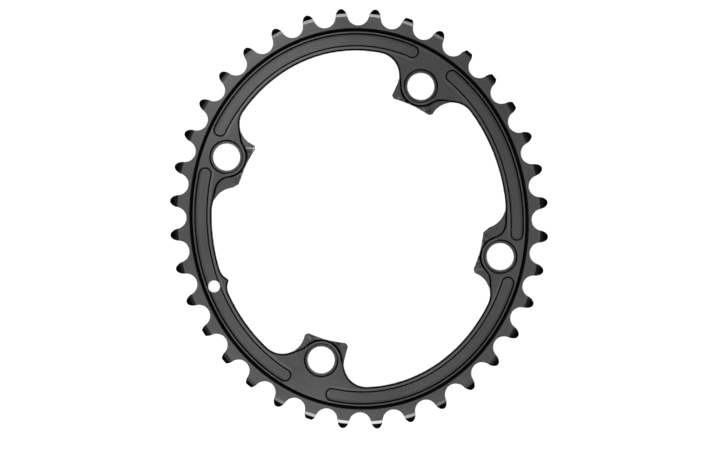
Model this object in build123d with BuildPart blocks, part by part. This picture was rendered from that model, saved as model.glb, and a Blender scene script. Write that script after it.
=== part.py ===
from build123d import *
import os
from math import asin, atan2, cos, degrees, hypot, pi, radians, sin, sqrt, tan

# Oval road chainring, machined from one aluminium plate. Z is the crank axis, z = 0 is the face that
# bolts to the spider, and +Y points along the crank arm. Sizes are millimetres, angles are degrees.

# Pitch curve: an oval that a chain wraps with a whole number of pitches.
teeth = 36
chain_pitch = 12.7
ovality = 1.1165  # long axis over short axis
oval_from_crank = 110.0  # long axis, clockwise from the crank arm

# Tooth form, with heights and depths taken from the pitch curve.
seat_depth = 3.9
seat_radius = 4.15
flank_radius = 4.0
tip_radius = 1.58
tip_height = 2.5
shift_tip_height = 1.9
shift_teeth = (2, 4, 5, 6)  # shortened teeth, counted clockwise from each end of the long axis

# Tooth plate and the bevels that thin its tips.
plate_back = 0.7  # from the spider face
plate_thickness = 2.0
bevel_foot_depth = 0.5
bevel_break_height = 0.6
bevel_angle = 9.0
bevel_tip_angle = 22.0
back_bevel_angle = 7.0

# Body: the thick band inside the teeth.
body_height = 3.6
step_foot_depth = 5.0
step_top_depth = 6.3
inner_depth = 13.37
edge_chamfer = 0.65  # width of the chamfer round the window
edge_chamfer_depth = 0.5

# Bolt pattern and the bosses round its holes.
bolt_circle = 110.0
near_bolt_angle = 50.0  # each side of the crank arm
far_bolt_angle = 140.0
bolt_hole = 10.24
bolt_recess = 12.54
boss_radius = 7.85

# Pads that seat on the spider arms, bored to the spider's pilot.
pad_height = 1.6
pad_half_width = 8.4
pad_blend = 8.5
pilot_radius = 47.1
pad_corner_start = 7.25
pad_corner_angle = 35.0
ridge_lean = 20.0  # of a wing's ridge towards the arm's middle
ridge_bevel = 0.35
ridge_bevel_angle = 9.0
wing_fall = 1.0

# Relief milled down to the pads round each boss.
relief_radius = 5.3
relief_half_angle = 60.0  # from the inward side of the bolt
relief_lean = 0.15  # of its wall, from the edge chamfer down to the pads

# Pockets milled along the middle of the body, from one bolt to the next, and a recess at each bolt.
mill_depth = 0.7
mill_corner = 0.35  # bevel of the cutter's corner, left round the floor
pocket_width = 4.7
pocket_line_depth = 9.35
pocket_clearances = ((7.05, 6.4), (8.7, 12.05), (6.3, 7.1), (8.9, 9.45))  # turns from the bolts at its ends

# Pin hole and the pointed tab, both in line with the crank arm.
pin_hole = 4.56
pin_radius = 60.2
tab_reach = 1.96  # inwards from the rim
tab_tip_radius = 0.75
tab_blend = 6.0

oval_turn = 90 - oval_from_crank
oval_points = 48
rim_points = 12
plate_top = plate_back + plate_thickness
bolt_angles = (
    90 - far_bolt_angle,
    90 - near_bolt_angle,
    90 + near_bolt_angle,
    90 + far_bolt_angle,
)


def bisect(function, low, high):
    """Root of a rising function between low and high."""
    for _ in range(50):
        middle = (low + high) / 2
        if function(middle) < 0:
            low = middle
        else:
            high = middle
    return low


def roller_turns(half_short):
    """Oval parameters of the roller centres, one chord of a chain pitch apart, from half a tooth past
    the long axis."""
    half_long = ovality * half_short
    turns = [asin(chain_pitch / 2 / half_short)]
    while len(turns) < teeth:
        last = turns[-1]

        def excess(turn):
            across = half_long * (cos(turn) - cos(last))
            along = half_short * (sin(turn) - sin(last))
            return hypot(across, along) - chain_pitch

        turns.append(bisect(excess, last, last + pi / 2))
    return turns


def closing_gap(half_short):
    """How far the last roller stops short of half a tooth before the long axis."""
    turns = roller_turns(half_short)
    return 2 * pi - turns[0] - turns[-1]


round_radius = teeth * chain_pitch / (2 * pi)
half_short = bisect(closing_gap, round_radius / ovality, round_radius * ovality)
half_long = ovality * half_short
rollers = roller_turns(half_short)


def oval_normal(turn):
    """Unit vector out of the pitch curve at an oval parameter."""
    return Vector(half_short * cos(turn), half_long * sin(turn)).normalized().rotate(Axis.Z, oval_turn)


def oval_point(turn, height):
    """Point at an oval parameter, a height outside the pitch curve along its normal."""
    on_curve = Vector(half_long * cos(turn), half_short * sin(turn)).rotate(Axis.Z, oval_turn)
    return on_curve + oval_normal(turn) * height


def oval_turn_at(angle):
    """Oval parameter in the direction of an angle about the crank axis."""
    from_axis = radians(angle - oval_turn)
    return atan2(sin(from_axis) * half_long, cos(from_axis) * half_short)


def oval_curve(height):
    """Closed curve parallel to the pitch curve, with its seam hidden behind the first bolt boss."""
    start = oval_turn_at(bolt_angles[0])
    turns = [start + 2 * pi * step / oval_points for step in range(oval_points)]
    return Spline(*[oval_point(turn, height) for turn in turns], periodic=True)


def rim_arc(start, end, height):
    """Stretch of a parallel of the pitch curve between two turns, counter-clockwise."""
    span = (end - start) % (2 * pi)
    turns = [start + span * step / rim_points for step in range(rim_points + 1)]
    tangents = [oval_normal(turn).rotate(Axis.Z, 90) for turn in (start, end)]
    return Spline(*[oval_point(turn, height) for turn in turns], tangents=tangents)


def oval_face(level, height):
    """Sketch of the area inside a parallel of the pitch curve, at a level of Z."""
    with BuildSketch(Plane.XY.offset(level)) as face:
        with BuildLine():
            oval_curve(height)
        make_face()
    return face.sketch


def arm_plane(angle, level=0):
    """Plane at a level of Z with its Y along an arm of the spider."""
    return Plane.XY.offset(level).rotated((0, 0, angle - 90))


def flank(seat, tip, side):
    """Three points of the arc that joins a roller seat to a tooth tip, tangent to both."""
    seat_reach = flank_radius + seat_radius
    tip_reach = flank_radius - tip_radius
    line = tip - seat
    along = (seat_reach**2 - tip_reach**2 + line.length**2) / (2 * line.length)
    across = sqrt(seat_reach**2 - along**2)
    direction = line.normalized()
    centre = seat + direction * along + direction.rotate(Axis.Z, side * 90) * across
    on_seat = seat + (centre - seat).normalized() * seat_radius
    on_tip = tip + (tip - centre).normalized() * tip_radius
    middle = centre + (on_seat + on_tip - centre * 2).normalized() * flank_radius
    return on_seat, middle, on_tip


# Outline of the teeth: for each tooth two flanks, a tip and the roller seat after it.
seats = [oval_point(turn, seat_radius - seat_depth) for turn in rollers]
tip_turns = [(rollers[tooth] + rollers[tooth - 1]) / 2 for tooth in range(teeth)]
tip_turns[0] = 0
tips = [oval_point(turn, tip_height - tip_radius) for turn in tip_turns]
rising = [flank(seats[tooth - 1], tips[tooth], 1) for tooth in range(teeth)]
falling = [flank(seats[tooth], tips[tooth], -1) for tooth in range(teeth)]
shift_tips = [-count + half * teeth // 2 for half in range(2) for count in shift_teeth]

with BuildSketch() as tooth_outline:
    with BuildLine():
        for tooth in range(teeth):
            following = (tooth + 1) % teeth
            ThreePointArc(*rising[tooth])
            ThreePointArc(rising[tooth][2], oval_point(tip_turns[tooth], tip_height), falling[tooth][2])
            ThreePointArc(*reversed(falling[tooth]))
            ThreePointArc(falling[tooth][0], oval_point(rollers[tooth], -seat_depth), rising[following][0])
    make_face()
    for tooth in shift_tips:
        flat = oval_point(tip_turns[tooth], shift_tip_height)
        outwards = oval_normal(tip_turns[tooth])
        with Locations(Location(flat, (0, 0, degrees(atan2(outwards.Y, outwards.X)) - 90))):
            Rectangle(chain_pitch / 2, tip_height, align=(Align.CENTER, Align.MIN), mode=Mode.SUBTRACT)

# Tooth plate: a bevelled oval disc trimmed to the outline of the teeth.
bevel_rim = tip_height + bevel_foot_depth
break_drop = (bevel_break_height + bevel_foot_depth) * tan(radians(bevel_angle))
tip_drop = break_drop + (bevel_rim - bevel_break_height) * tan(radians(bevel_tip_angle))
back_drop = (bevel_rim + bevel_foot_depth) * tan(radians(back_bevel_angle))
plate_section = (
    (plate_back, -bevel_foot_depth),
    (plate_back + back_drop, bevel_rim),
    (plate_top - tip_drop, bevel_rim),
    (plate_top - break_drop, bevel_break_height),
    (plate_top, -bevel_foot_depth),
)
with BuildPart() as tooth_plate:
    for level, height in plate_section:
        add(oval_face(level, height))
    loft(ruled=True)
    add(tooth_outline.sketch)
    extrude(amount=body_height, mode=Mode.INTERSECT)
    add(oval_face(0, -pocket_line_depth))
    extrude(amount=body_height, mode=Mode.SUBTRACT)

# Window: the opening inside the body. Its outline runs along the rim and leaves it for four bolt bosses
# and the tab. Each of these is a chain of rounds, (centre, radius), joined to each other and to the rim at
# the given turns by their common tangents. The radius is negative where the round is solid.
def rim_round(radius, side, angle, miss):
    """Turn and centre of a round inside the rim, on one side of an angle, where miss comes to nothing."""

    def swung(swing):
        turn = oval_turn_at(angle) + side * swing
        return turn, oval_point(turn, -inner_depth - radius)

    return swung(bisect(lambda swing: miss(swung(swing)[1]), 0, pi / 4))


def facing(first, second):
    """Unit vector into the solid, square to the tangent from one round to the next."""
    line = second[0] - first[0]
    lean = asin(round((first[1] - second[1]) / line.length, 9))
    return line.normalized().rotate(Axis.Z, degrees(lean) - 90)


def reached(rounds):
    """Rounds of a chain, without those that the tangent past them does not reach."""
    kept = [rounds[0]]
    for before, here, after in zip(rounds, rounds[1:], rounds[2:]):
        if here[1] * facing(before, here).cross(facing(here, after)).Z > 0:
            kept.append(here)
    return kept + [rounds[-1]]


def arm_blend(angle, side):
    """Turn and centre of the round that blends one side of an arm into the rim."""
    across = Vector(0, side).rotate(Axis.Z, angle)
    return rim_round(pad_blend, side, angle, lambda spot: spot.dot(across) - pad_half_width - pad_blend)


def boss_side(angle, side):
    """Turn at the rim and the rounds from there to a boss: arm blend and relief, or the relief alone
    where it stands out through the rim."""
    inwards = Vector(-1, 0).rotate(Axis.Z, angle)
    reach = inwards.rotate(Axis.Z, -side * relief_half_angle) * (boss_radius + relief_radius)
    relief = reach - inwards * (bolt_circle / 2)
    middle = oval_turn_at(degrees(atan2(relief.Y, relief.X)))

    def clearance(swing):
        turn = middle + side * swing
        return (oval_point(turn, -inner_depth) - relief).dot(oval_normal(turn)) - relief_radius

    if clearance(0) < 0:
        return middle + side * bisect(clearance, 0, pi / 4), [(relief, relief_radius)]
    turn, blend = arm_blend(angle, side)
    return turn, [(blend, pad_blend), (relief, relief_radius)]


def boss_chain(angle):
    """Rounds of a bolt boss, with the cuts on its two sides."""
    turn_in, before = boss_side(angle, -1)
    turn_out, after = boss_side(angle, 1)
    bolt = Vector(bolt_circle / 2, 0).rotate(Axis.Z, angle)
    return turn_in, reached([*before, (bolt, -boss_radius), *reversed(after)]), turn_out


def tab_chain():
    """Rounds of the tab: blend, tip, blend."""
    rim = oval_point(oval_turn_at(90), -inner_depth)
    tip = Vector(0, rim.Y - tab_reach + tab_tip_radius)
    blends = [
        rim_round(tab_blend, side, 90, lambda spot: (spot - tip).length - tab_blend - tab_tip_radius)
        for side in (-1, 1)
    ]
    rounds = [(blends[0][1], tab_blend), (tip, -tab_tip_radius), (blends[1][1], tab_blend)]
    return blends[0][0], rounds, blends[1][0]


def window_face(level, grow):
    """Sketch of the window at a level of Z, grown all round by an amount."""
    with BuildSketch(Plane.XY.offset(level)) as face:
        with BuildLine():
            for place, (turn_in, rounds, turn_out) in enumerate(window_chains):
                rim_in, rim_out = (oval_point(turn, grow - inner_depth) for turn in (turn_in, turn_out))
                normals = [facing(first, second) for first, second in zip(rounds, rounds[1:])]
                normals = [oval_normal(turn_in), *normals, oval_normal(turn_out)]
                starts = [at + normal * (radius + grow) for (at, radius), normal in zip(rounds, normals)]
                ends = [at + normal * (radius + grow) for (at, radius), normal in zip(rounds, normals[1:])]
                for first, second in zip([rim_in, *ends], [*starts, rim_out]):
                    if first != second:
                        Line(first, second)
                for (centre, radius), start, end in zip(rounds, starts, ends):
                    towards = ((start - centre).normalized() + (end - centre).normalized()).normalized()
                    ThreePointArc(start, centre + towards * abs(radius + grow), end)
                next_in = window_chains[(place + 1) % len(window_chains)][0]
                rim_arc(turn_out, next_in, grow - inner_depth)
        make_face()
    return face.sketch


boss_chains = [boss_chain(angle) for angle in bolt_angles]
window_chains = [*boss_chains[:2], tab_chain(), *boss_chains[2:]]

# Pads: arms that run in from the body, cut back to the spider's pilot and its corners. The clockwise
# wing of each falls away, over a narrow bevel, from a ridge that starts at the corner of the pilot. Above
# the pads, the wall of the relief leans out to meet them.
pad_end = pilot_radius - pad_blend
corner_reach = pad_half_width + pad_blend / 2
pilot_corner = sqrt(pilot_radius**2 - pad_corner_start**2)
corner_rise = (corner_reach - pad_corner_start) * tan(radians(pad_corner_angle))
wing_reach = 2 * pad_blend
ridge_drop = ridge_bevel * tan(radians(ridge_bevel_angle))
wing_drop = ridge_drop + (wing_reach - ridge_bevel) * tan(radians(wing_fall))
wall_top = body_height - edge_chamfer_depth


def arm_outline(angle):
    """Sketch of an arm, from the pilot to the middle of the body."""
    arm = arm_plane(angle)
    with BuildSketch(arm) as outline:
        with Locations((0, pad_end)):
            Rectangle(2 * pad_half_width, bolt_circle / 2 - pad_end, align=(Align.CENTER, Align.MIN))
        for turn, blend in (arm_blend(angle, -1), arm_blend(angle, 1)):
            centre = arm.to_local_coords(blend)
            root = arm.to_local_coords(oval_point(turn, -pocket_line_depth))
            Polygon((0, centre.Y), centre, root, (0, bolt_circle / 2), align=None)
            with Locations(centre):
                Circle(pad_blend, mode=Mode.SUBTRACT)
        with BuildLine():
            pilot = ThreePointArc(
                (-pad_corner_start, pilot_corner),
                (0, pilot_radius),
                (pad_corner_start, pilot_corner),
            )
            Polyline(
                pilot @ 1,
                (corner_reach, pilot_corner + corner_rise),
                (corner_reach, 0),
                (-corner_reach, 0),
                (-corner_reach, pilot_corner + corner_rise),
                pilot @ 0,
            )
        make_face(mode=Mode.SUBTRACT)
    return outline.sketch


with BuildPart() as pad_level:
    add(oval_face(0, -pocket_line_depth))
    extrude(amount=pad_height)
    for angle in bolt_angles:
        ridge = Location((pad_corner_start, pilot_corner, pad_height), (0, 0, ridge_lean))
        with BuildSketch(Plane(arm_plane(angle).location * ridge * Location((0, 0, 0), (90, 0, 0)))):
            with BuildLine():
                Polyline(
                    (0, 0),
                    (ridge_bevel, -ridge_drop),
                    (wing_reach, -wing_drop),
                    (wing_reach, pad_height),
                    (0, pad_height),
                    close=True,
                )
            make_face()
        extrude(amount=wing_reach, both=True, mode=Mode.SUBTRACT)

with BuildPart() as relief:
    add(window_face(0, -relief_lean * wall_top / (wall_top - pad_height)))
    add(window_face(wall_top, 0))
    loft(ruled=True)
    add(pad_level.part, mode=Mode.SUBTRACT)

with BuildPart() as pads:
    for angle in bolt_angles:
        add(arm_outline(angle))
        extrude(amount=wall_top)
    add(relief.part, mode=Mode.SUBTRACT)


def pocket(start, end):
    """Outline of a pocket between two turns of the oval, as a function of its level and an inset."""

    def outline(level, inset):
        half_width = pocket_width / 2 - inset
        with BuildSketch(Plane.XY.offset(level)) as face:
            with BuildLine():
                inner = rim_arc(start, end, -pocket_line_depth - half_width)
                outer = rim_arc(start, end, -pocket_line_depth + half_width)
                for spot, way in ((0, -90), (1, 90)):
                    across = (outer @ spot - inner @ spot) / 2
                    end_middle = inner @ spot + across + across.rotate(Axis.Z, way)
                    ThreePointArc(inner @ spot, end_middle, outer @ spot)
            make_face()
        return face.sketch

    return outline


def bolt_seat(angle):
    """Outline of the recess round a bolt hole, as a function of its level and an inset."""

    def outline(level, inset):
        with BuildSketch(arm_plane(angle, level)) as face:
            with Locations((0, bolt_circle / 2)):
                Circle(bolt_recess / 2 - inset)
        return face.sketch

    return outline


mill_outlines = [bolt_seat(angle) for angle in bolt_angles]
for place, (after, before) in enumerate(pocket_clearances):
    start = oval_turn_at(bolt_angles[place]) + radians(after)
    end = oval_turn_at(bolt_angles[(place + 1) % len(bolt_angles)]) - radians(before)
    mill_outlines.append(pocket(start, end))

with BuildPart() as chainring:
    add(oval_face(0, -step_foot_depth - plate_back))
    add(oval_face(plate_back, -step_foot_depth))
    add(oval_face(plate_top, -step_foot_depth))
    add(oval_face(body_height, -step_top_depth))
    loft(ruled=True)

    add(window_face(0, 0))
    add(window_face(wall_top, 0))
    add(window_face(body_height, edge_chamfer))
    loft(ruled=True, mode=Mode.SUBTRACT)

    add(pads.part)
    add(tooth_plate.part)

    for outline in mill_outlines:
        add(outline(body_height, 0))
        add(outline(body_height - mill_depth + mill_corner, 0))
        add(outline(body_height - mill_depth, mill_corner))
        loft(ruled=True, mode=Mode.SUBTRACT)

    for angle in bolt_angles:
        with Locations(arm_plane(angle, body_height).location):
            with Locations((0, bolt_circle / 2)):
                Hole(bolt_hole / 2)
    with Locations((0, pin_radius, body_height)):
        Hole(pin_hole / 2)

chainring.part.label = "chainring"
os.makedirs("parts", exist_ok=True)
export_step(chainring.part, "parts/chainring.step")
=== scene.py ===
from collections import namedtuple
from functools import reduce
from math import cos, radians, sin

import bpy
import numpy as np
from mathutils import Matrix

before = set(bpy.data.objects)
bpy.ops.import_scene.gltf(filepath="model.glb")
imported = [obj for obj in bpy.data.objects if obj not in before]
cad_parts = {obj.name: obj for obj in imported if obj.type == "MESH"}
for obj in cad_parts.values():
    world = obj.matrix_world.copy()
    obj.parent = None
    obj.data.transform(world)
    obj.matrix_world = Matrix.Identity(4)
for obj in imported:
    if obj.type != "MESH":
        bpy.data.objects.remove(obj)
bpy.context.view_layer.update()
chainring = bpy.data.objects["chainring"]

# The picture, in which the crank arm points left and a little down.
picture_turn = 115.0  # degrees from the picture's right to the ring's own X, counter-clockwise
picture_scale = 2658.1  # pixels to a metre on the ring's face
picture_size = (720, 450)
ring_centre_pixel = (359.04, 218.83)
camera_height = 1.6
ring_face = 0.0036

# The ring, in millimetres: levels of its flat faces over the spider face, and heights over its pitch oval.
face_level, milled_level, tooth_plate_level, pad_level = 3.6, 2.9, 2.7, 1.6
half_long, half_short = 76.81, 68.80
oval_turn = -20.0  # degrees from the ring's own X to the long axis
step_foot, tooth_bevel_foot, tooth_tip_foot = -5.0, -0.5, 0.6
pilot_radius = 47.1  # of the pads' bored ends

# The milled recesses: a round one at each bolt, and pockets along the oval that stop short of the bolts.
bolt_angles = np.radians([-50.0, 40.0, 140.0, 230.0])
bolt_reach, bolt_recess_radius, boss_radius = 55.0, 6.27, 7.85
pocket_line, pocket_half_width = -9.35, 2.35  # height of a pocket's middle line over the pitch oval
pocket_starts = np.radians([7.05, 8.7, 6.3, 8.9])  # turns of the oval past the bolt before a pocket
pocket_stops = np.radians([6.4, 12.05, 7.1, 9.45])  # and from its end to the next bolt

# Bands of painted shade, and of painted sheen and blotches, in millimetres: where each begins and ends, and
# how soft both ends are.
step_border = (step_foot - 0.22, step_foot + 0.1, 0.18)  # heights over the pitch oval
pocket_border = (-0.36, 0.2, 0.18)  # distances out of a pocket
bolt_border = (-0.18, 0.24, 0.16)  # distances out of a bolt recess, as for the next two
bolt_wall = (-0.6, 0.5, 0.1)
boss_lip = (0.15, 0.8, 0.1)
boss_border = (boss_radius - 0.82, boss_radius + 0.04, 0.13)  # distances from a bolt's middle
pad_tops = (pad_level - 0.2, pad_level + 0.04, 0.04)  # levels
ridge_bevels = (pad_level - 0.053, pad_level - 0.003, 0.003)  # levels of the bevel beside a pad's ridge

# Ramps in the painted shade, the painted sheen and the roughness, in millimetres: where each begins and ends.
off_window = (bolt_reach - 4.0, bolt_reach - 0.5)  # radii, as for the next two
off_boss_border = (bolt_reach - 4.2, bolt_reach - 2.7)
off_pad_corner = (pilot_radius + 0.7, pilot_radius + 2.7)
off_rim_lip = (-12.0, -11.8)  # heights over the pitch oval, as for the next three
pocket_shade = (pocket_line + 0.65, pocket_line + 2.15)
on_bevel = (tooth_bevel_foot - 0.1, tooth_bevel_foot + 0.1)
on_tip = (tooth_tip_foot - 0.05, tooth_tip_foot + 0.05)
off_pocket_floor = (-0.1, 0.0)  # distances out of a pocket, as for the next one
off_lip_end = (0.9, 1.2)
on_milled_side = (milled_level - 0.1, milled_level - 0.05)  # levels
on_shaded_pad = (40.0, 42.0)  # reaches towards the bolt whose pad has painted shade beside its ridge
level_slack = 0.02

# The finish: linear greys, with painted sheen, painted highlight and painted shade among them, shares of the
# painted shade, roughness and blasting, and how often its patterns repeat, in a metre or, for the cutter's
# streaks, in a millimetre along the oval and across it.
flat_greys, lip_sheen_grey, shade_blotch_grey, highlight_blotch_grey, painted_shade_grey = (0.07, 0.115), 0.15, 0.02, 0.25, 0.003
# The third share: how far painted sheen lightens the lips beside the window.
cloud_share, streak_share, lip_sheen_share = 0.4, 0.6, 0.5
# Shares of the painted shade on the window's side of a bolt recess's wall, on a pocket's outer floor and
# beside one pad's ridge.
window_wall_shade_share, pocket_floor_shade_share, ridge_shade_share = 0.6, 0.45, 0.55
shade_blotches, highlight_blotches = (0.34, 0.46), (0.54, 0.66)  # values of the blotch pattern at the edges of the painted shade and painted highlight blotches
satin, cloud_dulling, blast_dulling, bevel_polish = 0.18, 0.06, 0.02, 0.08
blast_strength, blast_depth = 0.012, 0.00004
cloud_scale, blast_scale, blotch_scale, fibre_scale = 45.0, 5200.0, 650.0, 900.0
streak_along, streak_across = 0.05, 1.3

# The stage, in metres: a paper floor with a lamp of its own, and a diffuser over the ring with lamps behind
# it, each with its place across and along the picture, its width and height, and its strength.
floor_side, floor_drop, paper_greys, paper_lift = 6.0, 0.0001, (0.90, 0.92), 0.12
diffuser_side, diffuser_height = 1.2, 0.7
diffuser_lamps = (
    (-0.13, 0.15, 0.08, 0.08, 5.7),
    (-0.14, -0.11, 0.08, 0.08, 2.6),
    (0.14, -0.06, 0.08, 0.21, 1.3),
    (-0.01, 0.293, 0.125, 0.052, 11.7),
    (-0.01, -0.294, 0.105, 0.08, 14.4),
)
edge_glow, edge_glow_ramp = 0.9, (0.355, 0.44)
floor_lamp_height, floor_lamp_width, floor_lamp_power = 2.4, 0.8, 33.0

long_way = np.array([cos(radians(oval_turn)), sin(radians(oval_turn)), 0])
short_way = np.array([-sin(radians(oval_turn)), cos(radians(oval_turn)), 0])
bolt_ways = np.column_stack([np.cos(bolt_angles), np.sin(bolt_angles), np.zeros(len(bolt_angles))])
shaded_pad_way = bolt_ways[3]
picture_right = np.array([cos(radians(picture_turn)), -sin(radians(picture_turn)), 0.0])
picture_up = np.array([sin(radians(picture_turn)), cos(radians(picture_turn)), 0.0])


class Wire:
    """One socket of a node tree; arithmetic on it adds Math nodes."""

    def __init__(self, tree, socket=None):
        self.tree, self.socket = tree, socket

    def node(self, kind, settings=None, output=0, **sockets):
        """Adds a node of this type, sets it up, feeds its sockets by name or as i0, i1 and so on by number,
        and gives one output."""
        new = self.tree.nodes.new(kind)
        for name, value in (settings or {}).items():
            setattr(new, name, value)
        for name, value in sockets.items():
            place = int(name[1:]) if name[1:].isdigit() else name.replace("_", " ")
            if isinstance(value, Wire):
                self.tree.links.new(value.socket, new.inputs[place])
            else:
                new.inputs[place].default_value = value
        return Wire(self.tree, new.outputs[output]) if len(new.outputs) else None

    def math(self, operation, first, second=0.0):
        return self.node("ShaderNodeMath", {"operation": operation}, i0=first, i1=second)

    def vector(self, operation, other=(0.0, 0.0, 0.0), output="Value"):
        return self.node(
            "ShaderNodeVectorMath", {"operation": operation}, output=output, i0=self, i1=tuple(other))

    def __add__(self, other):
        return self.math("ADD", self, other)

    def __sub__(self, other):
        return self.math("SUBTRACT", self, other)

    def __rsub__(self, other):
        return self.math("SUBTRACT", other, self)

    def __mul__(self, other):
        return self.math("MULTIPLY", self, other)

    def __pow__(self, other):
        return self.math("POWER", self, other)

    def __rpow__(self, other):
        return self.math("POWER", other, self)

    def __abs__(self):
        return self.math("ABSOLUTE", self)

    __radd__, __rmul__ = __add__, __mul__

    def exp(self):
        return self.math("EXPONENT", self)

    def along(self, way):
        """How far this vector reaches along a way."""
        return self.vector("DOT_PRODUCT", way)

    def noise(self, scale, detail):
        """A cloudy pattern from 0 to 1 on this vector."""
        return self.node("ShaderNodeTexNoise", Vector=self, Scale=scale, Detail=detail)

    def rise(self, low, high):
        """0 up to low, 1 from high on, and smooth between."""
        return self.node(
            "ShaderNodeMapRange", {"interpolation_type": "SMOOTHSTEP"}, i0=self, i1=low, i2=high)

    def fall(self, low, high):
        """1 up to low, 0 from high on, and smooth between."""
        return 1 - self.rise(low, high)

    def over(self, edge, soft):
        """0 below an edge and 1 above it, smooth over this width."""
        return self.rise(edge - soft / 2, edge + soft / 2)

    def band(self, low, high, soft):
        """1 from low to high and 0 elsewhere, with both ends this soft."""
        return self.over(low, soft) * (1 - self.over(high, soft))

    def grey(self):
        """A grey as bright as this wire."""
        return self.node("ShaderNodeVectorMath", {"operation": "SCALE"}, i0=(1.0, 1.0, 1.0), Scale=self)

    def mix(self, plain, other):
        """A colour from plain, where this wire is 0, to other, where it is 1. One number stands for a grey."""
        plain, other = (c if isinstance(c, Wire) else (c, c, c, 1.0) for c in (plain, other))
        return self.node("ShaderNodeMix", {"data_type": "RGBA"}, output=2, i0=self, i6=plain, i7=other)


# A point of the ring, in millimetres: its place without its level, its level, its distance from the ring's
# middle, its height over the pitch oval, its distances out of the nearest pocket and the nearest bolt
# recess, and how far it counts as the window's side of a boss.
Spot = namedtuple("Spot", "flat level radius height off_pocket off_bolt window_side")


def most(*wires):
    """The highest of some values."""
    return reduce(lambda first, second: first.math("MAXIMUM", first, second), wires)


def least(*wires):
    """The lowest of some values."""
    return reduce(lambda first, second: first.math("MINIMUM", first, second), wires)


def new_material(name):
    """An empty material, a wire into its tree and its object coordinates in metres."""
    material = bpy.data.materials.new(name)
    material.use_nodes = True
    material.node_tree.nodes.clear()
    blank = Wire(material.node_tree)
    return material, blank, blank.node("ShaderNodeTexCoord", output="Object")


def oval_points(angles, turns, height):
    """Points some turns of the oval on from these angles: the pitch oval's point there, plus its unit normal
    times a height."""
    from_axis = angles - radians(oval_turn)
    turn = np.arctan2(np.sin(from_axis) * half_long, np.cos(from_axis) * half_short) + turns
    on_oval = np.outer(half_long * np.cos(turn), long_way) + np.outer(half_short * np.sin(turn), short_way)
    normal = np.outer(half_short * np.cos(turn), long_way) + np.outer(half_long * np.sin(turn), short_way)
    return on_oval + height * normal / np.linalg.norm(normal, axis=1, keepdims=True)


def off_pockets(flat, radius, height):
    """Distance out of the nearest pocket, below zero inside it.

    A pocket is all that lies within its half width of its middle line or of that line's ends. The line
    breaks off between two pockets, in the gap that each bolt stands in.
    """
    far, sharp = 50.0, 0.0001
    starts = oval_points(bolt_angles, pocket_starts, pocket_line)
    stops = oval_points(np.roll(bolt_angles, -1), -pocket_stops, pocket_line)
    off_line = abs(height - pocket_line)
    for stop, start in zip(np.roll(stops, 1, axis=0), starts):
        stop_way, start_way = stop / np.linalg.norm(stop), start / np.linalg.norm(start)
        middle = (stop_way + start_way) / np.linalg.norm(stop_way + start_way)
        in_gap = (flat.along(middle) * radius ** -1.0).over(float(middle @ start_way), 2 * sharp)
        off_line = off_line + far * in_gap
    off_ends = [flat.vector("DISTANCE", end) for end in np.concatenate([starts, stops])]
    return least(off_line, *off_ends) - pocket_half_width


def ring_spot(place):
    """Where a point lies on the ring.

    The height over the pitch oval is radius - radius / share, where share is how many times as far out a
    point lies as the oval does in its direction.
    """
    flat = place.vector("MULTIPLY", (1000, 1000, 0), output="Vector")
    level = place.along((0, 0, 1000))
    radius = flat.vector("LENGTH")
    share = (flat.along(long_way / half_long) ** 2.0 + flat.along(short_way / half_short) ** 2.0) ** 0.5
    height = radius - radius * share ** -1.0
    off_bolts = [flat.vector("DISTANCE", bolt_reach * way) for way in bolt_ways]
    return Spot(
        flat, level, radius, height, off_pockets(flat, radius, height),
        least(*off_bolts) - bolt_recess_radius, radius.fall(*off_window))


def painted_shade(spot):
    """Where painted shade darkens the colour: on the slopes between the flat faces, at the tooth tips, along
    the foot of the step, on both sides of the recesses' walls and round the bosses. It is weaker on the outer
    part of a pocket's floor, on the window's side of a bolt recess and beside one pad's ridge."""
    # Painted shade: every mask below darkens the colour towards a near black where shade falls.
    slopes = (
        spot.level.band(tooth_plate_level + level_slack, face_level - level_slack, level_slack)
        * abs(spot.level - milled_level).rise(level_slack / 2, level_slack)
        * (1 - (1 - window_wall_shade_share) * spot.window_side * spot.off_bolt.band(*bolt_wall)))
    tips = spot.height.rise(*on_tip)
    step_line = spot.height.band(*step_border) * spot.level.rise(
        tooth_plate_level - level_slack, tooth_plate_level - level_slack / 2)
    pocket_lines = spot.off_pocket.band(*pocket_border)
    pocket_floors = (
        pocket_floor_shade_share * spot.height.rise(*pocket_shade) * spot.off_pocket.fall(*off_pocket_floor))
    bolt_lines = spot.off_bolt.band(*bolt_border) * (1 - spot.window_side)
    boss_lines = (spot.off_bolt + bolt_recess_radius).band(*boss_border) * spot.radius.fall(*off_boss_border)
    milled_side = spot.level.rise(*on_milled_side)
    # Painted shade, weaker, on the bevel beside the ridge of one pad.
    ridge_shade = (
        ridge_shade_share * spot.level.band(*ridge_bevels) * spot.flat.along(shaded_pad_way).rise(*on_shaded_pad))
    return most(
        slopes, tips, step_line, ridge_shade,
        milled_side * most(pocket_lines, pocket_floors, bolt_lines, boss_lines))


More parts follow.
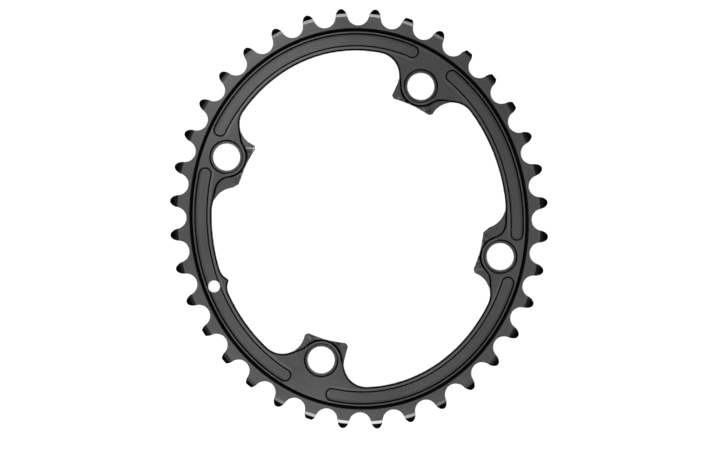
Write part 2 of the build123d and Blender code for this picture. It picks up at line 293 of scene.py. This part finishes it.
def black_anodised():
    """Satin black anodising: blasted faces with a grey sheen and faint streaks of the cutter along the oval,
    painted sheen on the lips beside the window, painted highlight and painted shade in blotches on the pad
    corners, smoother tooth bevels, and painted shade in a deeper black on slopes and along borders."""
    material, blank, place = new_material("black_anodised_satin")
    spot = ring_spot(place)
    along_oval = blank.node(
        "ShaderNodeCombineXYZ", X=spot.flat.along((streak_along, 0, 0)),
        Y=spot.flat.along((0, streak_along, 0)), Z=streak_across * spot.height)
    streak, cloud = along_oval.noise(1.0, 3.0), place.noise(cloud_scale, 3.0)
    blast, blotch = place.noise(blast_scale, 2.0), place.noise(blotch_scale, 2.0)

    # Painted sheen: the lips beside the window are lightened towards a paler grey.
    rim_lips = spot.height.fall(*off_rim_lip) * spot.off_pocket.fall(*off_lip_end)
    boss_lips = spot.off_bolt.band(*boss_lip) * spot.window_side
    lip_sheen = most(rim_lips, boss_lips) * spot.level.rise(
        face_level - level_slack / 2, face_level - level_slack / 4)
    # Painted highlight and painted shade: lighter and darker blotches on the pad corners.
    pad_corners = spot.radius.fall(*off_pad_corner) * spot.level.band(*pad_tops)
    flats = (cloud_share * cloud + streak_share * streak).mix(*flat_greys)
    lip_sheened = (lip_sheen_share * lip_sheen).mix(flats, lip_sheen_grey)
    shade_blotched = (pad_corners * blotch.fall(*shade_blotches)).mix(lip_sheened, shade_blotch_grey)
    highlight_blotched = (pad_corners * blotch.rise(*highlight_blotches)).mix(shade_blotched, highlight_blotch_grey)
    # The painted shade is mixed over all the other greys.
    colour = painted_shade(spot).mix(highlight_blotched, painted_shade_grey)

    roughness = (
        satin + cloud_dulling * cloud + blast_dulling * blast - bevel_polish * spot.height.rise(*on_bevel))
    grain = blank.node("ShaderNodeBump", Strength=blast_strength, Distance=blast_depth, Height=blast)
    metal = blank.node(
        "ShaderNodeBsdfPrincipled", Metallic=1.0, Base_Color=colour, Roughness=roughness, Normal=grain)
    blank.node("ShaderNodeOutputMaterial", Surface=metal)
    return material


def floor_paper():
    """White paper, lifted a little towards white for the eye and for what mirrors it."""
    material, blank, place = new_material("white_paper")
    paper = blank.node("ShaderNodeBsdfDiffuse", Color=place.noise(fibre_scale, 2.0).mix(*paper_greys))
    camera_ray, glossy_ray, transmission_ray = (
        blank.node("ShaderNodeLightPath", output=name)
        for name in ("Is Camera Ray", "Is Glossy Ray", "Is Transmission Ray"))
    lift = paper_lift * (camera_ray + glossy_ray + transmission_ray)
    glow = blank.node("ShaderNodeEmission", Color=lift.grey())
    blank.node("ShaderNodeOutputMaterial", Surface=blank.node("ShaderNodeAddShader", i0=paper, i1=glow))
    return material


def diffuser_cloth():
    """Cloth lit from behind: each lamp's strength * exp(-(across / width)^2 - (along / height)^2), added up,
    and an even glow towards the edges."""
    material, blank, place = new_material("diffuser_cloth")
    across, along = place.along(picture_right), place.along(picture_up)
    glow = edge_glow * ((across ** 2.0 + along ** 2.0) ** 0.5).rise(*edge_glow_ramp)
    for lamp_across, lamp_along, width, height, strength in diffuser_lamps:
        falls = ((across - lamp_across) * (1 / width)) ** 2.0 + ((along - lamp_along) * (1 / height)) ** 2.0
        glow = glow + strength * (falls * -1.0).exp()
    blank.node("ShaderNodeOutputMaterial", Surface=blank.node("ShaderNodeEmission", Color=glow.grey()))
    return material


def studio():
    """A world as bright as a direction's height: dark at the horizon and white overhead."""
    world = bpy.data.worlds.new("studio")
    world.use_nodes = True
    world.node_tree.nodes.clear()
    blank = Wire(world.node_tree)
    upwards = blank.node("ShaderNodeTexCoord", output="Generated").along((0, 0, 1))
    sky = upwards.math("MAXIMUM", upwards, 0.0)
    blank.node("ShaderNodeOutputWorld", Surface=blank.node("ShaderNodeBackground", Color=sky.grey()))
    return world


def flat_sheet(name, material, centre, across, up, steps=8):
    """A rectangle: centre + u * across / 2 + v * up / 2, with u and v from -1 to 1."""
    u, v = np.meshgrid(np.linspace(-1, 1, steps + 1), np.linspace(-1, 1, steps + 1))
    points = (
        np.asarray(centre)
        + u.reshape(-1, 1) * np.asarray(across) / 2
        + v.reshape(-1, 1) * np.asarray(up) / 2)
    corner = (np.arange(steps)[:, None] * (steps + 1) + np.arange(steps)).reshape(-1, 1)
    quads = corner + np.array([0, 1, steps + 2, steps + 1])
    mesh = bpy.data.meshes.new(name)
    mesh.from_pydata(points.tolist(), [], quads.tolist())
    mesh.materials.append(material)
    sheet = bpy.data.objects.new(name, mesh)
    bpy.context.scene.collection.objects.link(sheet)
    return sheet


chainring.material_slots[0].material = black_anodised()

flat_sheet("floor", floor_paper(), (0, 0, -floor_drop), (floor_side, 0, 0), (0, floor_side, 0))
diffuser = flat_sheet(
    "diffuser", diffuser_cloth(), (0, 0, diffuser_height),
    picture_right * diffuser_side, picture_up * diffuser_side)
diffuser.visible_camera = False
diffuser.visible_shadow = False

lamp = bpy.data.lights.new("floor_lamp", "AREA")
lamp.shape, lamp.size, lamp.energy = "DISK", floor_lamp_width, floor_lamp_power
floor_lamp = bpy.data.objects.new("floor_lamp", lamp)
floor_lamp.location = (0.0, 0.0, floor_lamp_height)
floor_lamp.visible_glossy = False
bpy.context.scene.collection.objects.link(floor_lamp)
bpy.context.scene.world = studio()

camera = bpy.data.cameras.new("camera")
camera.sensor_width = 36.0
camera.lens = picture_scale * (camera_height - ring_face) * camera.sensor_width / picture_size[0]
camera.clip_start, camera.clip_end = 0.1, 20.0
off_right = (picture_size[0] / 2 - ring_centre_pixel[0]) / picture_scale
off_up = (ring_centre_pixel[1] - picture_size[1] / 2) / picture_scale
eye = picture_right * off_right + picture_up * off_up + np.array([0, 0, camera_height])
turn = np.column_stack([picture_right, picture_up, [0, 0, 1]])
view = bpy.data.objects.new("camera", camera)
view.matrix_world = Matrix.Translation(eye.tolist()) @ Matrix(turn.tolist()).to_4x4()
bpy.context.scene.collection.objects.link(view)
bpy.context.scene.camera = view
bpy.context.scene.view_settings.view_transform = "Standard"
